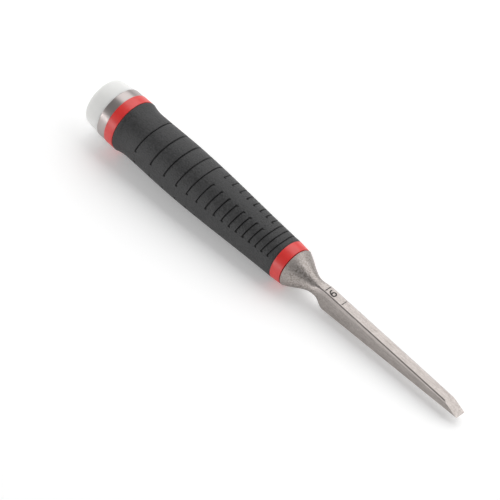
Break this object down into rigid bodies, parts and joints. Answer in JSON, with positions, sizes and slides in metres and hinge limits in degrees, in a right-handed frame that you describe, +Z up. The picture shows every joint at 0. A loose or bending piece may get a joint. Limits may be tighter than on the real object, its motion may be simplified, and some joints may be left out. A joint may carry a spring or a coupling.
{
  "type": "bench chisel",
  "caption": "Bench chisel with a narrow bevelled blade, a flared bolster and a through tang in a round grooved grip, with red collars, a steel strike plate and a white striking cap.",
  "frame": {"origin": "middle of the footprint, on the surface that the chisel lies on", "axes": "+X towards the cutting edge, +Z up, flat back down; the handle axis lies in the XZ plane and rises 2.5 degrees towards the butt"},
  "size_m": [0.2684, 0.0314, 0.033],
  "materials": {
    "forged_steel": "forged and belt-ground, satin",
    "red_plastic": "moulded, semi-gloss",
    "core_plastic": "moulded",
    "soft_grip": "moulded thermoplastic elastomer, fine matt texture",
    "turned_steel": "turned and polished",
    "zinc_steel": "zinc plated",
    "white_plastic": "impact plastic, slightly translucent"
  },
  "bodies": {
    "root": {"blade": "forged_steel", "front_collar": "red_plastic", "handle_core": "core_plastic", "grip_sleeve": "soft_grip", "rear_collar": "red_plastic", "strike_plate": "turned_steel", "tang_nut": "zinc_steel", "strike_cap": "white_plastic"}
  },
  "joints": []
}
